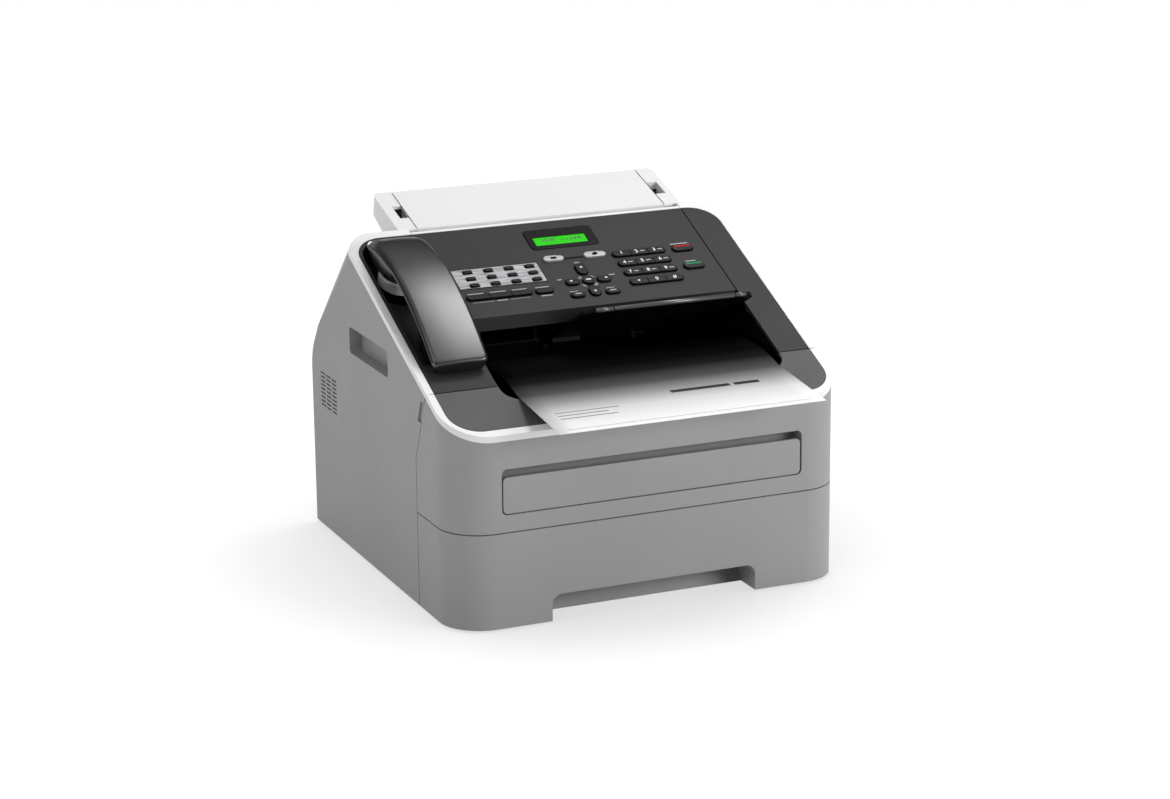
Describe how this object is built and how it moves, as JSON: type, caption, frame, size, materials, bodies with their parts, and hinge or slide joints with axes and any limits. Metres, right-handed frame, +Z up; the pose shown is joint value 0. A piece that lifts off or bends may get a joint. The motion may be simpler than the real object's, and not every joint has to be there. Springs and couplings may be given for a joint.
{
  "type": "laser fax machine",
  "caption": "Desktop laser fax with a sloping control panel, corded-style handset in a cradle, document feeder, output bay, drop-down front cover and pull-out paper tray.",
  "frame": {"origin": "on the supporting surface under the middle of the machine's casing", "axes": "+Z up, the front faces -Y, +X to the right as seen from the front"},
  "size_m": [0.368, 0.408, 0.3132],
  "materials": {
    "body_grey": "fine satin texture",
    "white_trim": "satin",
    "dark_panel": "satin",
    "deck_grey": "satin",
    "handset_dark": "gloss",
    "black_plastic": "matt",
    "silver_plastic": "silver lacquer",
    "key_black": "semi gloss",
    "display_black": "gloss",
    "display_green": "clear lens over a lit screen",
    "engine_dark": "matt",
    "frame_grey": "matt",
    "roller_rubber": "matt",
    "foot_rubber": "matt",
    "steel": "brushed",
    "board_green": "satin",
    "paper": "plain paper"
  },
  "bodies": {
    "chassis": {"base_frame": "frame_grey", "left_side_cover": "body_grey", "right_side_cover": "body_grey", "rear_housing": "body_grey", "rear_sockets": "black_plastic", "side_rims": "white_trim", "handset_cradle": "dark_panel", "earpiece_seat": "silver_plastic", "right_trim": "dark_panel", "output_tray": "black_plastic", "scanner_base": "black_plastic", "image_sensor": "engine_dark", "document_tray": "white_trim", "drum_unit": "engine_dark", "toner_cartridge": "engine_dark", "laser_unit": "engine_dark", "fuser_unit": "engine_dark", "drive_motor": "steel", "main_board": "board_green", "rubber_feet": "foot_rubber", "delivered_sheet": "paper"},
    "rear_cover": {"rear_cover": "body_grey"},
    "front_cover": {"front_cover": "body_grey", "front_rim": "white_trim", "front_deck": "deck_grey"},
    "manual_feed_flap": {"manual_feed_flap": "body_grey"},
    "paper_tray": {"paper_tray": "body_grey", "paper_guides": "dark_panel"},
    "lift_plate": {"lift_plate": "steel"},
    "control_panel": {"control_panel": "dark_panel", "panel_rim": "white_trim", "display_bezel": "display_black", "display_window": "display_green"},
    "document_support": {"document_support": "white_trim"},
    "exit_flap": {"exit_flap": "black_plastic"},
    "exit_flap_extension": {"exit_flap_extension": "black_plastic"},
    "handset": {"handset_upper": "handset_dark", "handset_lower": "handset_dark"},
    "hook_switch": {"hook_switch": "black_plastic"},
    "exit_roller": {"exit_roller": "roller_rubber"},
    "document_roller": {"document_roller": "roller_rubber"},
    "pickup_roller": {"pickup_roller": "roller_rubber"},
    "function_keys": {"function_keys": "key_black"},
    "options_key": {"options_key": "key_black"},
    "fax_mode_key": {"fax_mode_key": "silver_plastic"},
    "copy_mode_key": {"copy_mode_key": "silver_plastic"},
    "up_key": {"up_key": "key_black"},
    "down_key": {"down_key": "key_black"},
    "left_key": {"left_key": "key_black"},
    "right_key": {"right_key": "key_black"},
    "clear_key": {"clear_key": "key_black"},
    "menu_key": {"menu_key": "key_black"},
    "number_row_one": {"number_row_one": "key_black"},
    "number_row_two": {"number_row_two": "key_black"},
    "number_row_three": {"number_row_three": "key_black"},
    "number_row_four": {"number_row_four": "key_black"},
    "stop_key": {"stop_key": "key_black"},
    "start_key": {"start_key": "key_black"},
    "ok_key": {"ok_key": "key_black"},
    "speed_keys": {"speed_keys": "key_black"}
  },
  "joints": [
    {"name": "front_cover_hinge", "type": "hinge", "parent": "chassis", "child": "front_cover", "pos_m": [0, -0.1785, 0.0886], "axis": [1, 0, 0], "range_deg": [0, 80], "deforming": ["delivered_sheet"]},
    {"name": "manual_feed_flap_hinge", "type": "hinge", "parent": "front_cover", "child": "manual_feed_flap", "pos_m": [0, -0.1779, 0.104], "axis": [1, 0, 0], "range_deg": [0, 80]},
    {"name": "paper_tray_slide", "type": "slide", "parent": "chassis", "child": "paper_tray", "axis": [0, -1, 0], "range_m": [0, 0.27]},
    {"name": "lift_plate_hinge", "type": "hinge", "parent": "paper_tray", "child": "lift_plate", "pos_m": [0, 0.02, 0.01225], "axis": [-1, 0, 0], "range_deg": [0, 10]},
    {"name": "control_panel_hinge", "type": "hinge", "parent": "chassis", "child": "control_panel", "pos_m": [0, 0.08237, 0.28637], "axis": [-1, 0, 0], "range_deg": [0, 50]},
    {"name": "document_support_hinge", "type": "hinge", "parent": "chassis", "child": "document_support", "pos_m": [0, 0.1535, 0.31074], "axis": [-1, 0, 0], "range_deg": [0, 120]},
    {"name": "exit_flap_hinge", "type": "hinge", "parent": "chassis", "child": "exit_flap", "pos_m": [0, 0.008, 0.19543], "axis": [1, 0, 0], "range_deg": [0, 18]},
    {"name": "exit_flap_extension_hinge", "type": "hinge", "parent": "exit_flap", "child": "exit_flap_extension", "pos_m": [0, -0.07897, 0.24167], "axis": [1, 0, 0], "range_deg": [0, 165]},
    {"name": "rear_cover_hinge", "type": "hinge", "parent": "chassis", "child": "rear_cover", "pos_m": [0, 0.1785, 0.0323], "axis": [-1, 0, 0], "range_deg": [0, 85]},
    {"name": "handset_lift", "type": "slide", "parent": "chassis", "child": "handset", "axis": [0, -0.4147, 0.91], "range_m": [0, 0.12]},
    {"name": "hook_switch_slide", "type": "slide", "parent": "chassis", "child": "hook_switch", "axis": [0, -0.4147, 0.91], "range_m": [0, 0.003]},
    {"name": "exit_roller_spin", "type": "hinge", "parent": "chassis", "child": "exit_roller", "pos_m": [0, 0.068, 0.15854], "axis": [1, 0, 0], "continuous": true},
    {"name": "document_roller_spin", "type": "hinge", "parent": "chassis", "child": "document_roller", "pos_m": [0, 0.02257, 0.23989], "axis": [1, 0, 0], "continuous": true},
    {"name": "pickup_roller_spin", "type": "hinge", "parent": "chassis", "child": "pickup_roller", "pos_m": [0, -0.062, 0.07], "axis": [1, 0, 0], "continuous": true},
    {"name": "function_keys_press", "type": "slide", "parent": "control_panel", "child": "function_keys", "axis": [0, 0.4147, -0.91], "range_m": [0, 0.0012], "stiffness_N_per_m": 400},
    {"name": "options_key_press", "type": "slide", "parent": "control_panel", "child": "options_key", "axis": [0, 0.4147, -0.91], "range_m": [0, 0.0012], "stiffness_N_per_m": 400},
    {"name": "fax_mode_key_press", "type": "slide", "parent": "control_panel", "child": "fax_mode_key", "axis": [0, 0.4147, -0.91], "range_m": [0, 0.0012], "stiffness_N_per_m": 400},
    {"name": "copy_mode_key_press", "type": "slide", "parent": "control_panel", "child": "copy_mode_key", "axis": [0, 0.4147, -0.91], "range_m": [0, 0.0012], "stiffness_N_per_m": 400},
    {"name": "up_key_press", "type": "slide", "parent": "control_panel", "child": "up_key", "axis": [0, 0.4147, -0.91], "range_m": [0, 0.0012], "stiffness_N_per_m": 400},
    {"name": "down_key_press", "type": "slide", "parent": "control_panel", "child": "down_key", "axis": [0, 0.4147, -0.91], "range_m": [0, 0.0012], "stiffness_N_per_m": 400},
    {"name": "left_key_press", "type": "slide", "parent": "control_panel", "child": "left_key", "axis": [0, 0.4147, -0.91], "range_m": [0, 0.0012], "stiffness_N_per_m": 400},
    {"name": "right_key_press", "type": "slide", "parent": "control_panel", "child": "right_key", "axis": [0, 0.4147, -0.91], "range_m": [0, 0.0012], "stiffness_N_per_m": 400},
    {"name": "clear_key_press", "type": "slide", "parent": "control_panel", "child": "clear_key", "axis": [0, 0.4147, -0.91], "range_m": [0, 0.0012], "stiffness_N_per_m": 400},
    {"name": "menu_key_press", "type": "slide", "parent": "control_panel", "child": "menu_key", "axis": [0, 0.4147, -0.91], "range_m": [0, 0.0012], "stiffness_N_per_m": 400},
    {"name": "number_row_one_press", "type": "slide", "parent": "control_panel", "child": "number_row_one", "axis": [0, 0.4147, -0.91], "range_m": [0, 0.0012], "stiffness_N_per_m": 400},
    {"name": "number_row_two_press", "type": "slide", "parent": "control_panel", "child": "number_row_two", "axis": [0, 0.4147, -0.91], "range_m": [0, 0.0012], "stiffness_N_per_m": 400},
    {"name": "number_row_three_press", "type": "slide", "parent": "control_panel", "child": "number_row_three", "axis": [0, 0.4147, -0.91], "range_m": [0, 0.0012], "stiffness_N_per_m": 400},
    {"name": "number_row_four_press", "type": "slide", "parent": "control_panel", "child": "number_row_four", "axis": [0, 0.4147, -0.91], "range_m": [0, 0.0012], "stiffness_N_per_m": 400},
    {"name": "stop_key_press", "type": "slide", "parent": "control_panel", "child": "stop_key", "axis": [0, 0.4147, -0.91], "range_m": [0, 0.0012], "stiffness_N_per_m": 400},
    {"name": "start_key_press", "type": "slide", "parent": "control_panel", "child": "start_key", "axis": [0, 0.4147, -0.91], "range_m": [0, 0.0012], "stiffness_N_per_m": 400},
    {"name": "ok_key_press", "type": "slide", "parent": "control_panel", "child": "ok_key", "axis": [0, 0.4147, -0.91], "range_m": [0, 0.0012], "stiffness_N_per_m": 400},
    {"name": "speed_keys_press", "type": "slide", "parent": "control_panel", "child": "speed_keys", "axis": [0, 0.4147, -0.91], "range_m": [0, 0.0012], "stiffness_N_per_m": 400}
  ],
  "couplings": [
    {"joint": "hook_switch_slide", "follows": "handset_lift", "ratio": 0.025}
  ]
}
